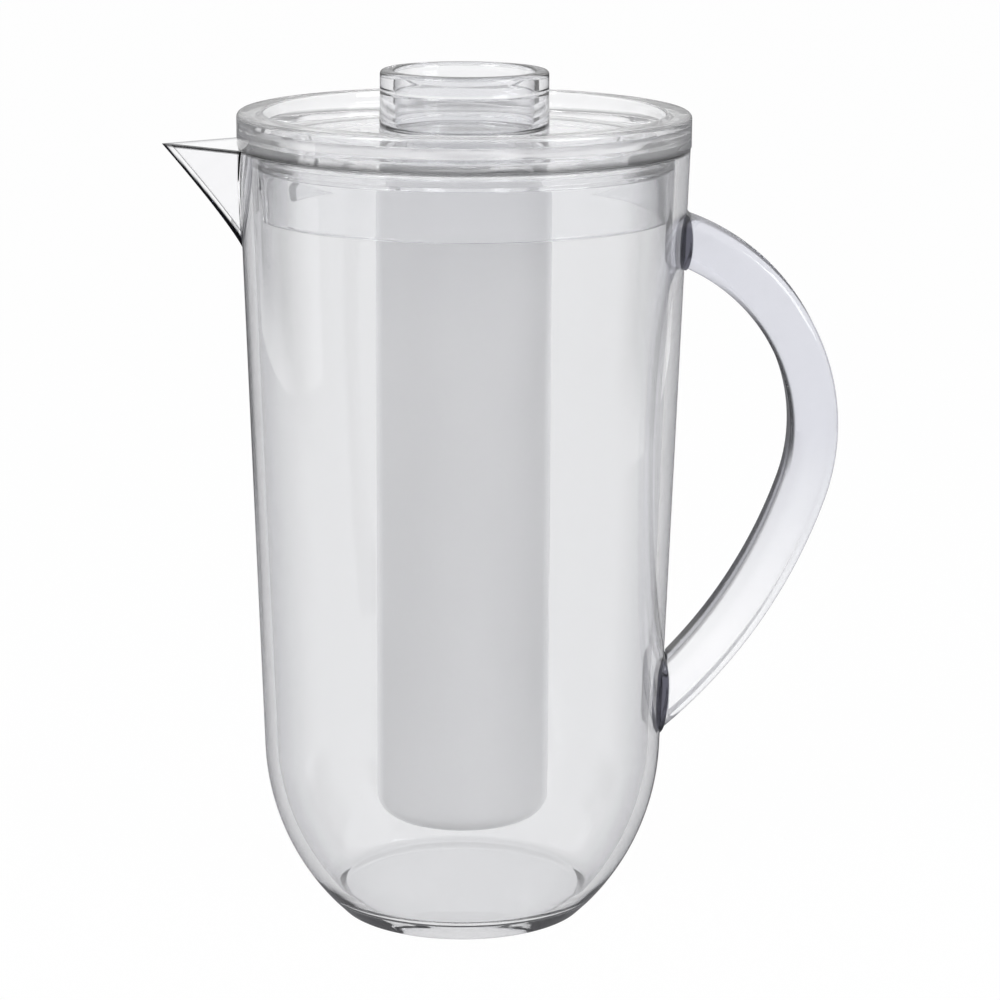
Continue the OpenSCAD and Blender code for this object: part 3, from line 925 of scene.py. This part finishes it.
def build_lid():
    """The lid's grid of (outline point, angle), with both threads pressed out and the window lifted."""
    a = LID_COLUMNS
    r, z = LID_LINE[:, :1] + 0 * a, LID_LINE[:, 1:] + 0 * a
    on_spigot, on_neck = abs(r - SPIGOT_R) < 0.05, abs(r - NECK_R) < 0.05
    core_thread = ridge(z, a, CORE_PITCH, SPIGOT_LOW + 0.6, PLATE_LOW - 1, THREAD_H)
    cap_thread = ridge(z, a, CAP_PITCH, PLATE_TOP + 0.6, NECK_TOP - 0.5, THREAD_H)
    r = r + np.where(on_spigot & (z < PLATE_LOW), core_thread, 0)
    r = r + np.where(on_neck & (z > PLATE_TOP), cap_thread, 0)
    lift = WINDOW_LIFT * smooth_step((WINDOW_HALF + WINDOW_EDGE - abs(a - math.pi)) / (2 * WINDOW_EDGE))
    top = SEAL_LOW - 0.5
    skirt = (LID_LINE[:, :1] > SKIRT_IN - 0.1) & (LID_LINE[:, 1:] < top)
    z = z + np.where(skirt, lift * np.clip((top - z) / (top - SKIRT_LOW), 0, 1), 0)
    grid = np.stack([r * np.cos(a), r * np.sin(a), z], -1)
    return skin("lid_shell", grid, quads(*grid.shape[:2], close_rows=True, close_cols=True), 35)


shade(fit(build_lid(), "lid", "lid", LID_CLEAR), rim_shade)

# %% [markdown]
# ## The soft rings
#
# Three clear silicone rings keep the joints tight: a lipped one in the skirt's groove, a flat gasket on top
# of the core, and a washer on the neck. They are turned from small outlines with rounded edges.

# %% Soft rings
LIP_R = wall_r(SEAL_LOW, -WALL) - 0.3
SEAL_MID, GROOVE_FLOOR = (SEAL_LOW + SEAL_TOP) / 2, GROOVE_R + 0.1
CORE_R, CORE_TOP, WASHER_H, HAIR = 27.8, PLATE_LOW - 1.0, 1.5, 0.02


def ring_piece(name, corners, radii, body, node):
    """A turned ring from its corners and radii."""
    grid = turned(even(rounded(corners, radii, 4), 1.0), ROUND)
    obj = skin(name, grid, quads(*grid.shape[:2], close_rows=True, close_cols=True), 60)
    return fit(obj, body, node, RING_CLEAR)


def flat_corners(inside, outside, low, high):
    """The four corners of a flat ring's section, a hair away from what is under and over it."""
    low, high = low + HAIR, high - HAIR
    return [[inside, low], [outside, low], [outside, high], [inside, high]]


ring_piece("seal_lip", [[GROOVE_FLOOR, SEAL_LOW], [SKIRT_R, SEAL_LOW], [LIP_R, SEAL_MID], [SKIRT_R, SEAL_TOP],
                        [GROOVE_FLOOR, SEAL_TOP]], [0.3, 0.2, 0.25, 0.2, 0.3], "seal_ring", "lid_seal")
ring_piece("core_ring", flat_corners(SPIGOT_R + 0.1, CORE_R, CORE_TOP, PLATE_LOW),
           [0.2, 0.25, 0.25, 0.2], "gasket", "core_gasket")
ring_piece("neck_ring", flat_corners(BORE_R, NECK_R, NECK_TOP, NECK_TOP + WASHER_H),
           [0.3, 0.3, 0.3, 0.3], "washer", "cap_washer")

# %% [markdown]
# ## The chiller core
#
# The core is a long tube with a rounded, closed end, frosted all over. Its bore is 0.4 mm wider than the
# spigot all round, and the ridge of the spigot's thread runs in that gap.

# %% Core
CORE_IN, CORE_LOW, CORE_FLOOR = 25.6, 31.0, 3.0
core_line = rounded([[0, CORE_LOW], [CORE_R, CORE_LOW], [CORE_R, CORE_TOP], [CORE_IN, CORE_TOP],
                     [CORE_IN, CORE_LOW + CORE_FLOOR], [0, CORE_LOW + CORE_FLOOR]],
                    [0, 6.0, 0.5, 0.5, 3.8, 0], 10, False)
core_grid = turned(even(core_line, 3.0, False), ROUND)
core_sleeve = skin("core_sleeve", core_grid, quads(*core_grid.shape[:2], close_cols=True), 50)
fit(core_sleeve, "core", "core_tube", CORE_FROST)

# %% [markdown]
# ## The knob cap
#
# The knob is a cup with a rolled rim and a fine line under it. Its floor lies a third of the way up, and the
# hollow below goes over the neck.

# %% Knob
KNOB_LOW, KNOB_TOP, KNOB_R, FOOT_OUT = 245.1, 273.0, 26.5, 27.0
CUP_R, CUP_FLOOR, CAP_BORE, ROOF = 22.0, 254.3, 22.0, 3.0
LINE_Z, LINE_HALF, LINE_R = 266.5, 0.6, 26.1
knob_line = rounded(
    [[0, CUP_FLOOR - ROOF], [CAP_BORE, CUP_FLOOR - ROOF], [CAP_BORE, KNOB_LOW], [FOOT_OUT, KNOB_LOW],
     [KNOB_R, LINE_Z - LINE_HALF], [LINE_R, LINE_Z], [KNOB_R, LINE_Z + LINE_HALF], [KNOB_R, KNOB_TOP],
     [CUP_R, KNOB_TOP], [CUP_R, CUP_FLOOR], [0, CUP_FLOOR]],
    [0, 0.6, 0.4, 0.8, 0.5, 0.5, 0.5, 1.4, 1.4, 2.0, 0], 6, False)
knob_grid = turned(even(knob_line, 1.5, False), ROUND)
cup_knob = skin("cup_knob", knob_grid, quads(*knob_grid.shape[:2], close_cols=True), 40)
fit(cup_knob, "cap", "knob_cap", KNOB_CLEAR)

# %% [markdown]
# ## What each ray sees
#
# Clear plastic shows what surrounds it, so the surroundings are part of its looks. They can differ by the
# kind of ray: white where the camera looks, also through the plastic, darker where the plastic only mirrors
# them, and a soft grey as light. Light Path tells these rays apart, and two helpers use it.

# %% Ray helpers
def sight(tree):
    """Two values: 1 for rays from the camera or through the plastic, and 1 for rays that it only mirrors."""
    path = tree.nodes.new("ShaderNodeLightPath")
    camera_ray, through = path.outputs["Is Camera Ray"], path.outputs["Is Transmission Ray"]
    seen = combined(tree, "MAXIMUM", camera_ray, through)
    return seen, combined(tree, "SUBTRACT", path.outputs["Is Glossy Ray"], through, clamp=True)


def by_ray(tree, as_light, for_sight, for_gloss, share=1.0):
    """One shader from three: share of for_sight where sight is, for_gloss where gloss is, else as_light."""
    seen, gloss = sight(tree)
    if share < 1:
        seen = combined(tree, "MULTIPLY", seen, share)
    return either_shader(tree, gloss, either_shader(tree, seen, as_light, for_sight), for_gloss)


print("ray helpers: sight, by_ray")

# %% [markdown]
# ## The room
#
# The world is the room round the table. Gloss sees it brighten towards its ceiling, as in a real studio,
# so every surface seen at a shallow angle turns grey.

# %% World
def make_world():
    """White for sight, a soft grey as light, and for gloss a room that brightens towards its ceiling."""
    world = bpy.data.worlds.new("studio")
    bpy.context.scene.world = world
    world.use_nodes = True
    tree = world.node_tree
    light = tree.nodes["Background"]
    light.inputs["Color"].default_value = (0.92, 0.93, 0.95, 1)
    light.inputs["Strength"].default_value = 0.75
    white, room = (tree.nodes.new("ShaderNodeBackground") for _ in range(2))
    white.inputs["Color"].default_value = (1, 1, 1, 1)
    direction = tree.nodes.new("ShaderNodeTexCoord").outputs["Generated"]
    tree.links.new(stretched(tree, height(tree, direction), -0.05, 0.3, 0.22), room.inputs["Color"])
    shader = by_ray(tree, light.outputs[0], white.outputs[0], room.outputs[0])
    tree.links.new(shader, tree.nodes["World Output"].inputs["Surface"])
    return world


print("world:", make_world().name)

# %% [markdown]
# ## The floor
#
# The floor is a wide pale table top. Where it is looked at it mostly glows in white of its own, and the
# matt rest takes the pitcher's soft shadow.

# %% Floor
TABLE_HALF, TABLE_Z = 6000.0, -0.05
TABLE_SHARE = 0.97


def glowing(name):
    """A material that only glows, in white unless its colour is linked: itself, its tree and its glow."""
    material = bpy.data.materials.new(name)
    material.use_nodes = True
    tree = material.node_tree
    tree.nodes.remove(tree.nodes["Principled BSDF"])
    glow = tree.nodes.new("ShaderNodeEmission")
    tree.links.new(glow.outputs[0], tree.nodes["Material Output"].inputs["Surface"])
    return material, tree, glow


def make_floor_material():
    """Pale floor: mostly a white of its own where it is looked at, plus a matt part that takes the shadow."""
    material, tree, glow = glowing("floor")
    matt = tree.nodes.new("ShaderNodeBsdfDiffuse")
    matt.inputs["Color"].default_value = (0.9, 0.9, 0.9, 1)
    dim = tree.nodes.new("ShaderNodeEmission")
    dim.inputs["Color"].default_value = (0.2, 0.2, 0.21, 1)
    shader = by_ray(tree, matt.outputs[0], glow.outputs[0], dim.outputs[0], TABLE_SHARE)
    tree.links.new(shader, tree.nodes["Material Output"].inputs["Surface"])
    return material


def stage_piece(name, corners, materials):
    """A stage object of separate faces: corners holds four in mm for each, and the materials take turns."""
    points = np.asarray(corners, float).reshape(-1, 3)
    mesh = bpy.data.meshes.new(name)
    mesh.from_pydata((points * MM).tolist(), [], np.arange(len(points)).reshape(-1, 4).tolist())
    for material in materials:
        mesh.materials.append(material)
    mesh.polygons.foreach_set("material_index", np.arange(len(points) // 4) % len(materials))
    obj = bpy.data.objects.new(name, mesh)
    bpy.context.scene.collection.objects.link(obj)
    return obj


square = np.array([[-1, -1], [1, -1], [1, 1], [-1, 1]]) * TABLE_HALF
floor = stage_piece("floor", np.c_[square, [TABLE_Z] * 4], [make_floor_material()])
print("stage:", floor.name)

# %% [markdown]
# ## Lamps and dark blinds
#
# Two soft lamps light the plastic. Its dark accents come from two blinds that stand beside the stage, where
# the camera doesn't see them directly. A blind is a row of upright slats, dark on their front and white on
# their back. Seen from the front, through the edges of the plastic, the slats close up to a dark card. Seen
# from the side they stand edge on, and the white room shows between them. Towards the table the dark fades
# out, so that the floor stays bright in the plastic.

# %% Lamps and blinds
SLAT_DEEP, SLAT_STEP, SLAT_TURN, SLAT_SKIN = 8.0, 2.0, 0.12, 0.2
DARK_FROM = 0.06


def lamp(name, place, aim, size, power):
    """A soft square lamp at place that looks at aim, both in millimetres."""
    data = bpy.data.lights.new(name, "AREA")
    data.size, data.energy = size * MM, power
    obj = bpy.data.objects.new(name, data)
    bpy.context.scene.collection.objects.link(obj)
    direction = (np.array(aim, float) - place) * MM
    turn = Vector(direction).to_track_quat("-Z", "Y").to_matrix().to_4x4()
    obj.matrix_world = Matrix.Translation([v * MM for v in place]) @ turn
    return obj


def dark_paint(name, tone):
    """The slats' front: white at the table, down to a dark tone from DARK_FROM metres over it."""
    material, tree, glow = glowing(name)
    place = tree.nodes.new("ShaderNodeTexCoord").outputs["Object"]
    fade = stretched(tree, height(tree, place), 0.0, DARK_FROM, 1.0, tone, soft=True)
    tree.links.new(fade, glow.inputs["Color"])
    return material


def blind(name, x, y0, y1, high, tone, back):
    """Upright slats from y0 to y1. Each reaches SLAT_DEEP outwards and leans back by SLAT_TURN of that.

    A slat has a dark skin in front and a white one SLAT_SKIN behind it."""
    y = np.arange(y0, y1, SLAT_STEP)[:, None, None] + np.array([0, SLAT_SKIN])[:, None]
    out, up = np.array([0, 1, 1, 0]), np.array([0, 0, high, high])
    corners = np.broadcast_arrays(x + math.copysign(SLAT_DEEP, x) * out, y + SLAT_TURN * SLAT_DEEP * out, up)
    obj = stage_piece(name, np.stack(corners, -1), [dark_paint(name, tone), back])
    obj.visible_camera = obj.visible_diffuse = obj.visible_shadow = False
    return obj


lamp("key", (-900, -900, 1100), (0, 0, 130), 700, 9)
lamp("fill", (1100, -700, 700), (0, 0, 130), 600, 6)
white_back = glowing("card_back")[0]
blind("card_right", 620, 30, 700, 330, 0.06, white_back)
blind("card_left", -760, -200, 600, 300, 0.04, white_back)
print("two lamps and two blinds are up")

# %% Finish
bpy.context.scene.view_settings.view_transform = "Standard"
